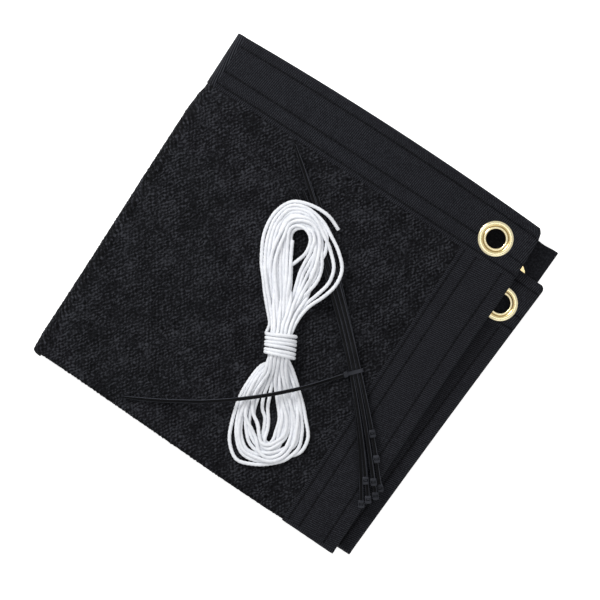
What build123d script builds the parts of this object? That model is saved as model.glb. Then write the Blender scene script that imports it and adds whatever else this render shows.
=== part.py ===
"""Folded wind and privacy screen panel for a court fence, with its tie-up kit.

One square panel of black knitted cloth is folded twice into a flat packet of four
leaves. Leaf 1 is on top and leaf 4 lies on the ground. Leaves 1-2 and leaves 3-4 are
joined by the front turns. Leaves 1-4 and leaves 2-3 are joined along the left edge by
the outer and inner spine, about which the upper half opens like a book. Webbing is
sewn round two sides of the panel and a brass eyelet is set in its corner on every leaf.
A hank of rope and a bundle of cable ties lie on leaf 1.

Millimetres, +Z up. X runs along the top hem and Y up along the spine.
"""
from build123d import *
from math import atan2, degrees, hypot
import os

# --- cloth, webbing and stack ---
CLOTH = 0.9
WEBBING = 0.7
HEM = CLOTH + 2 * WEBBING
GAP = 0.9
PITCH = HEM + GAP
TURN_R = PITCH / 2
SPINE_R = 1.5 * PITCH
EDGE_WALL = 1.0
TOP_HEM_W = 38.0
SIDE_HEM_W = 39.5

# --- plan of the packet ---
SPINE_X = -115.5
SPINE_CLEAR = 0.3
FRONT_LEFT_Y = -119.6
OUTER_TOP_Y = 124.9
INNER_TOP_Y = 86.0

# --- brass eyelets, half inch hole ---
EYE_R = 6.35
EYE_NECK_R = 7.1
EYE_FLANGE_R = 11.8
EYE_RECESS = 0.5
EYE_PROUD = 0.5
RIM_DROP = 0.5
GROOVE_R = 8.3
BEAD_R = 7.4
BEAD_DROP = 0.05
LIP_DROP = 0.7
CURL_R = 8.2
CURL_H = 0.3
WASHER_R = 11.6
WASHER_T = 0.5
SEAT_REACH = 2.0

# --- stitching ---
STITCH_W = 0.5
STITCH_H = 0.15
TOP_ROWS = (7.0, 26.0, 35.0)
SIDE_ROWS = (9.0, 28.0, 36.5)
STITCH_CLEAR = 0.5

# --- cable ties, 200 by 2.5 ---
TIE_L = 197.0
TIE_W = 2.5
TIE_T = 1.0
LAYER_PITCH = 1.15
COLUMN_PITCH = 2.8
HEAD_L = 5.0
HEAD_W = 4.0
HEAD_H = 2.8
HEAD_BELOW = 1.1
HEAD_BITE = 0.4
HEAD_CORNER = 0.7
HEAD_EDGE = 0.4
APERTURE_L = 1.3
APERTURE_W = 2.7

# --- tie bundle: S runs along it towards the heads, T across it ---
BUNDLE_FRAME = Rot(0, 0, -42.2)
BUNDLE_CLEAR = 0.45
RING_S = 59.0
RING_T = 28.1
RING_CORNER_R = 0.3
RING_PLAY = 0.15
RING_ROOM = 0.15
# layer from below, column at the ring, S and T of the head's middle, T of the tip
TIES = {
    1: (2, 1, 100.7, 28.8, 27.9),
    2: (1, 1, 117.4, 27.2, 30.0),
    3: (0, 1, 136.5, 24.8, 33.6),
    4: (2, 0, 131.2, 21.6, 25.6),
    5: (1, 0, 140.4, 20.6, 26.2),
    6: (2, -1, 129.0, 17.0, 20.6),
    7: (1, -1, 141.5, 15.4, 22.0),
    8: (0, -1, 143.4, 10.6, 23.5),
}
# T where the binding tie's tail is up over the hank, and where it is down again
TAIL_RISE_T = -5.0
TAIL_FALL_T = -67.0
TAIL_REST_T = -85.0
TAIL_TIP = (35.7, -123.0)
TAIL_MID = (56.4, -50.0)
TAIL_BEND_R = 14.0
TAIL_LEVEL_L = 6.0
TAIL_CLEAR = 0.4

# --- rope hank ---
WAIST = (12.5, -31.0)
HANK_HEADING = -63.3
WRAP_L = 17.0
WRAP_W = 22.0
WRAP_H = 15.6
CHANNEL_MID_T = 27.3
CHANNEL_W = 18.2
CHANNEL_CLEAR = 0.4
HANK_CLEAR = 0.3
LOWER_LOOP_H = 6.5
UPPER_LOOP_H = 5.5
HANK_OUTLINE = (
    (5.0, -34.6), (-1.5, -23.5), (-10, -13.3), (-20, -3), (-30, 10), (-37, 25), (-38.5, 40),
    (-33.5, 52), (-22, 57.3), (-8, 57), (4, 51.5), (14.5, 42.5), (20.3, 32), (21.6, 21),
    (19.5, 10), (15.5, 0), (14, -10), (16, -19), (19.7, -27.4), (27, -38), (38, -47.5),
    (52, -60.5), (60.5, -72), (63, -81), (59.5, -91.5), (51, -102), (40, -106.7),
    (29, -106.7), (18, -100.5), (10.5, -90.5), (7.2, -77), (6.8, -62), (6.8, -48),
)

# --- construction: what only cuts other shapes reaches past them ---
REACH = 60.0
OVERSHOOT = 0.2


def leaf_level(number):
    """Height of a leaf's underside. Leaf 4 lies on the ground."""
    return (4 - number) * PITCH


HEM_TOP = leaf_level(1) + HEM
CLOTH_TOP = HEM_TOP - WEBBING
LEFT = SPINE_X + SPINE_CLEAR
SPINE_Z = leaf_level(4) + HEM / 2 + SPINE_R

RING_LOW = HEM_TOP + BUNDLE_CLEAR
TIE_LOW = RING_LOW + HEAD_BELOW
RING_HIGH = TIE_LOW + 2 * LAYER_PITCH + 2 * TIE_T + RING_ROOM
CHANNEL_TOP = TIE_LOW + 2 * LAYER_PITCH + TIE_T + CHANNEL_CLEAR
HANK_LOW = CLOTH_TOP + HANK_CLEAR
LOWER_LOOP_TOP = HANK_LOW + LOWER_LOOP_H
UPPER_LOOP_TOP = CHANNEL_TOP + UPPER_LOOP_H
TAIL_HIGH = LOWER_LOOP_TOP + TAIL_CLEAR + TIE_T / 2
# distance from the waist along the hank, and height
HANK_PROFILE = (
    (-102, HANK_LOW), (-102, UPPER_LOOP_TOP - 4), (-94, UPPER_LOOP_TOP - 0.5),
    (-35, UPPER_LOOP_TOP), (-9, UPPER_LOOP_TOP + 1.5), (9, UPPER_LOOP_TOP + 1),
    (22, LOWER_LOOP_TOP), (84, LOWER_LOOP_TOP - 0.5), (95, LOWER_LOOP_TOP - 4), (95, HANK_LOW),
)

# Each leaf: y where its top edge meets the spine, how far that edge bows out half way, its
# top right corner, how far its right edge bows out, the right end of its front turn, the
# bevel at its corner, its eyelet's middle, and whether its face is up (1) or down (-1).
LEAVES = {
    1: {"spine_y": OUTER_TOP_Y, "crown": 2.8, "corner": (116.0, 125.0), "side_bow": 0.6,
        "front": (114.8, -123.6), "cut": (3.2, 7.2), "eyelet": (92.2, 103.5), "face": 1},
    2: {"spine_y": INNER_TOP_Y, "crown": 1.0, "corner": (109.5, 80.0), "side_bow": 0.5,
        "front": (114.8, -123.6), "cut": (1.5, 2.0), "eyelet": (86.5, 59.5), "face": -1},
    3: {"spine_y": INNER_TOP_Y, "crown": 1.0, "corner": (137.2, 95.0), "side_bow": 0.6,
        "front": (124.8, -118.6), "cut": (2.5, 3.0), "eyelet": (118.0, 70.2), "face": 1},
    4: {"spine_y": OUTER_TOP_Y, "crown": 1.0, "corner": (132.4, 118.8), "side_bow": 0.5,
        "front": (124.8, -118.6), "cut": (0.6, 0.6), "eyelet": (111.5, 89.0), "face": -1},
}


def along(start, end, part, off=0.0):
    """Point a part of the way from start to end, set off to the left of the way."""
    dx, dy = end[0] - start[0], end[1] - start[1]
    length = hypot(dx, dy)
    return (start[0] + dx * part - dy / length * off, start[1] + dy * part + dx / length * off)


def leaf_face(leaf, inset=0.0):
    """Plan outline of a leaf, with its two hemmed edges moved in by inset."""
    front_x, front_y = leaf["front"]
    right = front_x - inset
    right_y = front_y + (FRONT_LEFT_Y - front_y) * inset / (front_x - LEFT)
    corner = (leaf["corner"][0] - inset, leaf["corner"][1] - inset)
    cut_x, cut_y = leaf["cut"]
    top_left = (LEFT, leaf["spine_y"] - inset)
    top_right = (corner[0] - cut_x, corner[1])
    side_top = (corner[0], corner[1] - cut_y)
    top_mid = along(top_left, top_right, 0.5, leaf["crown"])
    side_mid = along(side_top, (right, right_y), 0.5, leaf["side_bow"])
    edges = [
        Line((LEFT, FRONT_LEFT_Y), top_left),
        ThreePointArc(top_left, top_mid, top_right),
        Line(top_right, side_top),
        ThreePointArc(side_top, side_mid, (right, right_y)),
        Line((right, right_y), (LEFT, FRONT_LEFT_Y)),
    ]
    return make_face(edges)


def strip(start, end, reach):
    """Large area on one side of a line: on its left, or on its right when reach is negative."""
    first, last = -OVERSHOOT, 1 + OVERSHOOT
    return make_face(Polyline(along(start, end, first), along(start, end, last),
                              along(start, end, last, reach), along(start, end, first, reach),
                              close=True))


def above(leaf, depth):
    """Everything above a line that lies a depth below the leaf's top edge."""
    return strip((SPINE_X, leaf["spine_y"] - depth),
                 (leaf["corner"][0], leaf["corner"][1] - depth), REACH)


def beside(leaf, depth):
    """Everything to the right of a line that lies a depth inside the leaf's right edge."""
    return strip((leaf["front"][0] - depth, leaf["front"][1]),
                 (leaf["corner"][0] - depth, leaf["corner"][1]), -REACH)


def block(face, low, high):
    """A face in plan, raised from one height to another."""
    return Pos(0, 0, low) * extrude(face, high - low, dir=(0, 0, 1))


def eyelet_place(number):
    """Frame of a leaf's eyelet: Z towards its flange, origin on the washer side."""
    leaf = LEAVES[number]
    x, y = leaf["eyelet"]
    if leaf["face"] > 0:
        return Pos(x, y, leaf_level(number))
    drop = EYE_PROUD if number == 4 else 0.0
    return Pos(x, y, leaf_level(number) + HEM + drop) * Rot(180, 0, 0)


def eyelet():
    """Brass eyelet: domed flange, bead round the hole, neck, and the curl that holds the washer."""
    top = HEM - EYE_RECESS
    crest = HEM + EYE_PROUD
    rim = (EYE_FLANGE_R, crest - RIM_DROP)
    groove = (GROOVE_R, crest - RIM_DROP)
    lip = (EYE_R, crest - LIP_DROP)
    edges = [
        Polyline((EYE_R, 0), (CURL_R, 0), (CURL_R, CURL_H), (EYE_NECK_R, CURL_H),
                 (EYE_NECK_R, top), (EYE_FLANGE_R, top), rim),
        ThreePointArc(rim, ((EYE_FLANGE_R + GROOVE_R) / 2, crest), groove),
        ThreePointArc(groove, (BEAD_R, crest - BEAD_DROP), lip),
        Line(lip, (EYE_R, 0)),
    ]
    return revolve(Plane.XZ * make_face(edges), Axis.Z)


def washer():
    """Flat brass ring between the hem and the curl."""
    ring = Circle(WASHER_R) - Circle(EYE_NECK_R)
    return block(ring, CURL_H, CURL_H + WASHER_T)


def eyelet_room(number):
    """What the eyelet and washer take out of the hem: the neck's hole and a seat each side."""
    back = CURL_H + WASHER_T
    front = HEM - EYE_RECESS
    room = block(Circle(EYE_NECK_R), -SEAT_REACH, HEM + SEAT_REACH)
    room += block(Circle(WASHER_R), -SEAT_REACH, back)
    room += block(Circle(EYE_FLANGE_R), front, HEM + SEAT_REACH)
    return eyelet_place(number) * room


def leaf_nodes(number):
    """Cloth, two hems, eyelet, washer and stitching of one leaf."""
    leaf = LEAVES[number]
    low = leaf_level(number)
    outline = leaf_face(leaf)
    inside = leaf_face(leaf, EDGE_WALL)
    room = eyelet_room(number)
    cloth = block(inside, low + WEBBING, low + WEBBING + CLOTH)
    top_area = above(leaf, TOP_HEM_W)
    top_band = outline & top_area
    side_band = (outline & beside(leaf, SIDE_HEM_W)) - top_area
    rows = [top_band & (above(leaf, depth + STITCH_W) - above(leaf, depth)) for depth in TOP_ROWS]
    rows += [(side_band & beside(leaf, depth + STITCH_W)) - beside(leaf, depth)
             for depth in SIDE_ROWS]
    keep_out = Pos(*leaf["eyelet"]) * Circle(EYE_FLANGE_R + STITCH_CLEAR)
    top = low + HEM
    threads = [block(row - keep_out, top, top + STITCH_H) for row in rows]
    name = f"leaf_{number}"
    return {
        f"{name}_cloth": cloth - room,
        f"{name}_top_hem": block(top_band, low, top) - cloth - room,
        f"{name}_side_hem": block(side_band, low, top) - cloth - room,
        f"{name}_stitching": Compound([s for t in threads for s in t.solids()]),
        f"{name}_eyelet": eyelet_place(number) * eyelet(),
        f"{name}_washer": eyelet_place(number) * washer(),
    }


def half_pipe(radius, thickness, length):
    """Half of a pipe along +X from the origin, bulging towards -Y."""
    outer = radius + thickness / 2
    ring = Circle(outer) - Circle(outer - thickness)
    half = ring & (Pos(-outer, 0) * Rectangle(2 * outer, 3 * outer))
    return extrude(Plane.YZ * half, length, dir=(1, 0, 0))


def front_turn(upper):
    """The cloth and the webbing that go round the front edge of a pair of leaves."""
    right, right_y = LEAVES[1 if upper else 3]["front"]
    length = hypot(right - LEFT, right_y - FRONT_LEFT_Y)
    slope = degrees(atan2(right_y - FRONT_LEFT_Y, right - LEFT))
    level = leaf_level(2 if upper else 4) + HEM / 2 + TURN_R
    place = Pos(LEFT, FRONT_LEFT_Y, level) * Rot(0, 0, slope)
    cloth = half_pipe(TURN_R, CLOTH, length - EDGE_WALL)
    webbing = Pos(length - SIDE_HEM_W, 0, 0) * half_pipe(TURN_R, HEM, SIDE_HEM_W) - cloth
    return place * cloth, place * webbing


def spine(radius, top_y):
    """The cloth and the webbing that go round the left edge from one half to the other."""
    place = Pos(LEFT, top_y, SPINE_Z) * Rot(0, 0, -90)
    length = top_y - FRONT_LEFT_Y - EDGE_WALL
    cloth = Pos(EDGE_WALL, 0, 0) * half_pipe(radius, CLOTH, length)
    webbing = half_pipe(radius, HEM, TOP_HEM_W) - cloth
    return place * cloth, place * webbing


def tie_head(turned):
    """Head of a tie with its aperture. A turned tie has its head below the strap."""
    head = Box(HEAD_L, HEAD_W, HEAD_H)
    head = chamfer(head.edges().filter_by(Axis.Z), HEAD_CORNER)
    head = chamfer(head.faces().sort_by(Axis.Z)[-1].edges(), HEAD_EDGE)
    head -= Box(APERTURE_L, APERTURE_W, 2 * HEAD_H)
    low = -HEAD_BELOW if turned else 0.0
    return Pos(0, 0, low + HEAD_H / 2) * head


def cable_tie(layer, column, head_s, head_t, tip_t):
    """One tie of the bundle: a thin strap that curves gently, with a head at its far end."""
    tip_s = head_s + HEAD_L / 2 - TIE_L
    at_ring = (RING_S, RING_T + column * COLUMN_PITCH)
    path = ThreePointArc((tip_s, tip_t), at_ring, (head_s - HEAD_L / 2, head_t))
    low = TIE_LOW + layer * LAYER_PITCH
    way = path % 1
    centre = path @ 1 + way * (HEAD_L / 2 - HEAD_BITE)
    place = Pos(centre.X, centre.Y, low) * Rot(0, 0, degrees(atan2(way.Y, way.X)))
    aperture = place * Box(APERTURE_L, APERTURE_W, 4 * HEAD_H)
    strap = block(SlotArc(path, TIE_W), low, low + TIE_T) - aperture
    return BUNDLE_FRAME * (strap + place * tie_head(turned=layer == 0))


def binding_tie():
    """The tie round the bundle: ring, upright head, and a tail that passes over the hank."""
    width = 3 * COLUMN_PITCH + 2 * TIE_T + 2 * RING_PLAY
    height = RING_HIGH - RING_LOW
    outer = RectangleRounded(width, height, RING_CORNER_R + TIE_T)
    inner = RectangleRounded(width - 2 * TIE_T, height - 2 * TIE_T, RING_CORNER_R)
    middle = Pos(RING_T, (RING_LOW + RING_HIGH) / 2)
    ring = extrude(Plane.YZ * (middle * (outer - inner)), TIE_W / 2, both=True)
    near = RING_T - width / 2
    head = Box(HEAD_W, HEAD_H, HEAD_L)
    head = chamfer(head.edges().filter_by(Axis.Z), HEAD_EDGE)
    head = Pos(0, near - HEAD_H / 2 + HEAD_BITE, RING_LOW + HEAD_L / 2) * head
    rest = RING_LOW + TIE_T / 2
    lane = FilletPolyline(
        (near + TIE_T, rest), (near - TAIL_LEVEL_L, rest), (TAIL_RISE_T, TAIL_HIGH),
        (TAIL_FALL_T, TAIL_HIGH), (TAIL_REST_T, rest), (TAIL_TIP[1] - TAIL_LEVEL_L, rest),
        radius=TAIL_BEND_R)
    side = extrude(Plane.YZ * trace(lane, TIE_T), 4 * REACH, dir=(1, 0, 0))
    path = ThreePointArc((RING_S, near + TIE_W), TAIL_MID, TAIL_TIP)
    tail = block(SlotArc(path, TIE_W), 0, REACH) & side
    return BUNDLE_FRAME * (Pos(RING_S, 0, 0) * (ring + head) + tail)


def rope_hank():
    """Outer shape of the coiled rope: two flattened loops and the wraps round the waist."""
    plan = block(make_face(Spline(*HANK_OUTLINE, periodic=True)), HANK_LOW, REACH)
    place = Pos(*WAIST) * Rot(0, 0, HANK_HEADING)
    profile = make_face(Polyline(*HANK_PROFILE, close=True))
    body = plan & place * extrude(Plane.XZ * profile, 2 * REACH, both=True)
    wraps = Plane.YZ * (Pos(0, HANK_LOW + WRAP_H / 2) * Ellipse(WRAP_W / 2, WRAP_H / 2))
    body += place * extrude(wraps, WRAP_L / 2, both=True)
    channel = Pos(0, CHANNEL_MID_T, CHANNEL_TOP - REACH / 2) * Box(8 * REACH, CHANNEL_W, REACH)
    return body - BUNDLE_FRAME * channel


def all_nodes():
    """Every node of the packet, in the plan's own frame."""
    nodes = {}
    for number in LEAVES:
        nodes.update(leaf_nodes(number))
    for name, upper in (("upper", True), ("lower", False)):
        cloth, webbing = front_turn(upper)
        nodes[f"front_turn_{name}_cloth"] = cloth
        nodes[f"front_turn_{name}_hem"] = webbing
    for name, radius, top_y in (("outer", SPINE_R, OUTER_TOP_Y), ("inner", TURN_R, INNER_TOP_Y)):
        cloth, webbing = spine(radius, top_y)
        nodes[f"spine_{name}_cloth"] = cloth
        nodes[f"spine_{name}_hem"] = webbing
    for number, row in TIES.items():
        nodes[f"cable_tie_{number}"] = cable_tie(*row)
    nodes["binding_tie"] = binding_tie()
    nodes["rope_hank"] = rope_hank()
    return nodes


def main():
    """Put the origin under the middle of the packet and write one STEP for each node."""
    nodes = all_nodes()
    packet = Compound([shape for name, shape in nodes.items() if name != "rope_hank"])
    box = packet.bounding_box()
    to_origin = Pos(-box.center().X, -box.center().Y, -box.min.Z)
    os.makedirs("parts", exist_ok=True)
    for name, shape in nodes.items():
        export_step(to_origin * shape, f"parts/{name}.step")
    print("origin moved by", to_origin.position, "packet size", box.size)


main()
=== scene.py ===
"""Folded wind screen panel with its rope hank and cable ties, dressed for rendering.

Plan millimetres are used throughout: X along the top hem, Y up along the spine, Z up.
to_row() turns them into the frame's metres.
"""
import bmesh
import bpy
import numpy as np
from math import atan2, ceil, cos, hypot, pi, radians, sin
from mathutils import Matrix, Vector, kdtree


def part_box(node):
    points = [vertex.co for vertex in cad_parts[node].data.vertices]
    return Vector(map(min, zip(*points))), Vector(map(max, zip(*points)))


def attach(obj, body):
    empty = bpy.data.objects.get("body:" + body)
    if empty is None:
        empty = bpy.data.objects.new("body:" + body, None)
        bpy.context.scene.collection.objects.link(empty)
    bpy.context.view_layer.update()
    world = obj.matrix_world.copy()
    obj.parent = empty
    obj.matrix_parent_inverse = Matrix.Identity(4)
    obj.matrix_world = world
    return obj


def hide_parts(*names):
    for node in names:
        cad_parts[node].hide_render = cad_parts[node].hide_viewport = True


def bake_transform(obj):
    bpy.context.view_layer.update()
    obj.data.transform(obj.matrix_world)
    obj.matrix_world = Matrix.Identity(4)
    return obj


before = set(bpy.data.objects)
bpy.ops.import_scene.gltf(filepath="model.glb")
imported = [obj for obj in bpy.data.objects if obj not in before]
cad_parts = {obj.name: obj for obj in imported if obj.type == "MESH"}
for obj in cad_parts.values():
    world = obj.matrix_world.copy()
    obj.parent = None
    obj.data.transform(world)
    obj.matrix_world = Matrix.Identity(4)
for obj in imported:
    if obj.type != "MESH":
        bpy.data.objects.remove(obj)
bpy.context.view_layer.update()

MM = 0.001
# --- plan frame: the corner eyelet of leaf 1 says where it lies in the row frame ---
EYELET_1 = (92.2, 103.5)
EYE_LOW, EYE_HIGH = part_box("leaf_1_eyelet")
SHIFT = np.array([
    (EYE_LOW.x + EYE_HIGH.x) / 2 / MM - EYELET_1[0],
    (EYE_LOW.y + EYE_HIGH.y) / 2 / MM - EYELET_1[1],
    0.0,
])

# --- stack of leaves ---
CLOTH = 0.9
WEBBING = 0.7
HEM = CLOTH + 2 * WEBBING
LEAF_GAP = 0.9
PITCH = HEM + LEAF_GAP
HEM_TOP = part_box("leaf_1_top_hem")[1].z / MM
CLOTH_TOP = HEM_TOP - WEBBING

# --- tie bundle: S runs along it towards the heads, T across it ---
BUNDLE_TURN = radians(-42.2)
BUNDLE_MID_T = 27.3
BUNDLE_HALF_T = 8.0
BUNDLE_RAMP = 11.0
HEAD_OVER_STRAP = 1.8
BUNDLE_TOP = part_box("cable_tie_1")[1].z / MM - HEAD_OVER_STRAP

# --- rope ---
ROPE_D = 2.5
ROPE_R = ROPE_D / 2
WAIST = np.array([12.5, -31.0])
HANK_HEADING = radians(-63.3)
WAIST_OVER_LOW = 7.8
WAIST_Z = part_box("rope_hank")[0].z / MM + WAIST_OVER_LOW


def to_row(points):
    """Plan millimetres to the row frame's metres."""
    return (np.asarray(points, float) + SHIFT) * MM


def linked(name, data):
    """A new object, linked to the scene."""
    made = bpy.data.objects.new(name, data)
    bpy.context.scene.collection.objects.link(made)
    return made


def new_mesh(name, points, faces, smooth=True):
    """A piece from plan points and faces."""
    mesh = bpy.data.meshes.new(name)
    mesh.from_pydata(to_row(points).tolist(), [], faces)
    mesh.validate()
    mesh.shade_smooth() if smooth else mesh.shade_flat()
    return linked(name, mesh)


def turn_outwards(piece, sharp):
    """Turns a piece's faces outwards and marks its edges sharper than an angle."""
    work = bmesh.new()
    work.from_mesh(piece.data)
    bmesh.ops.recalc_face_normals(work, faces=work.faces)
    work.to_mesh(piece.data)
    work.free()
    piece.data.set_sharp_from_angle(angle=radians(sharp))


def keep_lumps(piece, lumps):
    """Keeps a value from 0 to 1 for each of a piece's first points, for its material to shade by."""
    values = np.full(len(piece.data.vertices), 0.5, np.float32)
    values[:lumps.size] = np.clip(lumps, 0, 1).reshape(-1)
    piece.data.attributes.new("lump", "FLOAT", "POINT").data.foreach_set("value", values)


def tube_faces(count, sides, base=0, closed=False):
    """Faces between the neighbouring rings of a tube."""
    faces = []
    for ring in range(count if closed else count - 1):
        a, b = base + ring * sides, base + (ring + 1) % count * sides
        faces += [(a + n, a + (n + 1) % sides, b + (n + 1) % sides, b + n) for n in range(sides)]
    return faces


def rod_faces(count, sides, base=0):
    """Faces of a tube of rings with both ends filled."""
    end = base + (count - 1) * sides
    ends = [tuple(range(base + sides - 1, base - 1, -1)), tuple(range(end, end + sides))]
    return tube_faces(count, sides, base) + ends


def lengths_along(line):
    """Distance of each point of a line from its first, along it."""
    return np.concatenate([[0], np.cumsum(np.linalg.norm(np.diff(line, axis=0), axis=1))])


def units(rows):
    """The rows as vectors of length one."""
    return rows / np.linalg.norm(rows, axis=1)[:, None]


def smooth_step(x):
    """From 0 to 1 with level ends."""
    x = np.clip(x, 0.0, 1.0)
    return x * x * (3 - 2 * x)


# --- camera ---
VIEW_CENTRE = (7.18, 0.83, CLOTH_TOP)
VIEW_WIDTH = 0.390
VIEW_TURN = radians(33.0)
LENS = 120.0
SENSOR_W = 36.0


def make_camera():
    """Straight above the packet, turned as in the photograph, on a long lens."""
    camera = bpy.data.cameras.new("camera")
    camera.lens = LENS
    camera.sensor_width = SENSOR_W
    holder = linked("camera", camera)
    holder.location = to_row(VIEW_CENTRE) + [0.0, 0.0, VIEW_WIDTH * LENS / SENSOR_W]
    holder.rotation_euler = (0.0, 0.0, VIEW_TURN)
    bpy.context.scene.camera = holder


# --- rope hank ---
# Middle lines of the outermost and the innermost turn, station by station: up the left
# of the upper loop and down its right, then down the right of the lower loop and up its left.
UPPER_OUTER = (
    (-0.5, -22.5), (-9, -12.5), (-19, -2), (-28.9, 10.7), (-35.8, 25.3), (-36.9, 39.5), (-31.9, 50.2),
    (-21.3, 54.9), (-8.2, 54.8), (3.3, 50), (13.6, 41.7), (19.1, 31.6), (20.3, 21), (18.3, 10.4),
    (14.3, 0.4), (12.8, -9.9), (14.8, -18.6),
)
UPPER_INNER = (
    (6.5, -20), (3, -11), (-2, -1), (-7.5, 9), (-13.5, 19), (-19, 28.5), (-22.5, 35.5),
    (-19.5, 40.5), (-13.5, 41), (-8.5, 37), (-5, 30), (-2.5, 23), (-1, 16), (1, 8),
    (3.5, 0), (7, -10), (11, -19),
)
LOWER_OUTER = (
    (26.2, -39), (37.2, -48.4), (51, -61.3), (59.4, -72.6), (61.7, -81), (58.4, -91), (50.2, -101),
    (39.7, -105.5), (29.8, -105), (20.3, -98.4), (13.2, -89), (9.4, -76.4), (8.5, -61.5), (9.9, -49),
)
LOWER_INNER = (
    (18.6, -41), (22.6, -50), (30.5, -60), (38.3, -70.5), (41.2, -79.5), (41.5, -84.5), (39.5, -87.5),
    (36.5, -86), (33.5, -81.5), (30, -76), (27, -70.5), (23.6, -62.5), (20.6, -54.5), (16.8, -46),
)
# how far in each place lies, from 0 at the outermost turn to 1 at the innermost
UPPER_LEFT_AT = (0, 0.2, 0.28, 0.35, 0.42, 0.49, 0.56, 0.73, 0.8, 0.94, 1.0)
UPPER_RIGHT_AT = (0, 0.29, 0.58, 0.64, 0.7, 0.75, 0.81, 0.86, 0.91, 0.97, 1.4)
LOWER_RIGHT_AT = (0, 0.19, 0.28, 0.37, 0.5, 0.57, 0.69, 0.77, 0.84, 0.92, 1.0)
LOWER_LEFT_AT = (0, 0.18, 0.25, 0.31, 0.37, 0.43, 0.49, 0.55, 0.62, 0.9, 1.02)
# which place each turn takes there; the rope's first end takes the lower places left over
UPPER_LEFT_ORDER = (3, 1, 5, 8, 2, 10, 6, 4, 9, 7)
UPPER_RIGHT_ORDER = (2, 0, 5, 7, 1, 9, 6, 3, 10, 4)
LOWER_RIGHT_ORDER = (4, 0, 6, 7, 1, 9, 5, 2, 10, 3)
LOWER_LEFT_ORDER = (4, 1, 6, 8, 0, 10, 5, 2, 9, 3)
TURNS = len(UPPER_LEFT_ORDER)
FIRST_END_RIGHT, FIRST_END_LOWER_RIGHT, FIRST_END_LOWER_LEFT = 8, 8, 7
FIRST_END = ((-18.6, 30.8), (-14.6, 23.5), (-10.2, 15.5), (-5.5, 6.5), (0.5, -4), (6, -14))
LAST_END_STATIONS = 10
WAIST_HALF = 8.5
WAIST_ROWS = (5, 6, 6, 5)
NESTED = 0.87
SIDE_BY_SIDE = 0.98
# how far from the waist a loop's strands reach their own heights and places
LEVEL_REACH = 26.0
PLACE_REACH = (5.0, 15.0)
# where along a loop its turns change places, how much that varies, and over what share
TURN_OVER = (0.5, 0.16, 2.6)
TURN_OVER_SPAN = 0.44
# strands stray from their places: how far, in how many waves, and how these shift turn by turn
STRAY = ((0.11, 1.6, 0.37), (0.08, 3.1, 0.61))
WRAP_SEMI = (9.6, 6.5)
WRAP_COUNT = 5.75
WRAP_PITCH = 1.02
PER_WRAP = 16
# size and rate of the wraps' looseness, of their drift along the hank, and of their lean
WRAP_LOOSE = (0.35, 2.1)
WRAP_DRIFT = (0.13, 2.7)
WRAP_LEAN = (0.45, 0.6)
ROPE_STEP = 2.2


def heading_and_side():
    """Unit vectors along the hank, towards its lower loop, and to its right."""
    heading = np.array([cos(HANK_HEADING), sin(HANK_HEADING)])
    return heading, np.array([-heading[1], heading[0]])


def waist_slots():
    """Places of the strands in the waist, across and up, each half from the outside in."""
    left, right = [], []
    for row, count in enumerate(WAIST_ROWS):
        height = WAIST_Z + (row - 1.5) * ROPE_D * NESTED
        across = [(n - (count - 1) / 2) * ROPE_D * SIDE_BY_SIDE for n in range(count)]
        half = count // 2 + (row == 0)
        left += [(a, height) for a in across[:half]]
        right += [(a, height) for a in across[half:]]
    return sorted(left), sorted(right, reverse=True)


def at_waist(slot, along):
    """Point of a slot, at a distance along the hank from the middle of the waist."""
    heading, side = heading_and_side()
    plan = WAIST + heading * along + side * slot[0]
    return [plan[0], plan[1], slot[1]]


def rest_height(x, y):
    """Height of what the rope lies on: the cloth, or the tie bundle where it crosses."""
    across = y * cos(BUNDLE_TURN) - x * sin(BUNDLE_TURN)
    past = np.abs(across - BUNDLE_MID_T) - BUNDLE_HALF_T
    over_bundle = 1 - smooth_step(past / BUNDLE_RAMP)
    return CLOTH_TOP + 0.1 + (BUNDLE_TOP + 0.3 - CLOTH_TOP) * over_bundle


def loop_points(outer, inner, places, slots, phase, layer):
    """One turn round one loop, from its place on one side to its place on the other."""
    outer, inner = np.array(outer, float), np.array(inner, float)
    part = np.linspace(0, 1, len(outer))
    turn_over = TURN_OVER[0] + TURN_OVER[1] * sin(TURN_OVER[2] * phase)
    share = places[0] + (places[1] - places[0]) * smooth_step((part - turn_over) / TURN_OVER_SPAN + 0.5)
    stray = sum(size * np.sin(2 * pi * (waves * part + shift * phase)) for size, waves, shift in STRAY)
    share += stray * np.sin(pi * part)
    plan = outer + (inner - outer) * share[:, None]
    height = rest_height(plan[:, 0], plan[:, 1]) + ROPE_R + layer * ROPE_D * NESTED
    heading = heading_and_side()[0]
    points = []
    for n, (point, up) in enumerate(zip(plan, height)):
        slot = slots[0] if n < len(plan) / 2 else slots[1]
        along = float((point - WAIST) @ heading)
        held = np.array(at_waist(slot, along))
        past = abs(along) - WAIST_HALF
        inwards = min(max(share[n], 0.0), 1.0)
        level = 1 - smooth_step(past / LEVEL_REACH)
        near = 1 - smooth_step(past / (PLACE_REACH[0] + PLACE_REACH[1] * inwards))
        plan_point = point + (held[:2] - point) * near
        points.append([plan_point[0], plan_point[1], up + (held[2] - up) * level])
    return points


def through_waist(slot, upwards):
    """Straight run of a strand through the waist."""
    way = -1 if upwards else 1
    return [at_waist(slot, -way * WAIST_HALF), at_waist(slot, 0), at_waist(slot, way * WAIST_HALF)]


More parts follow.
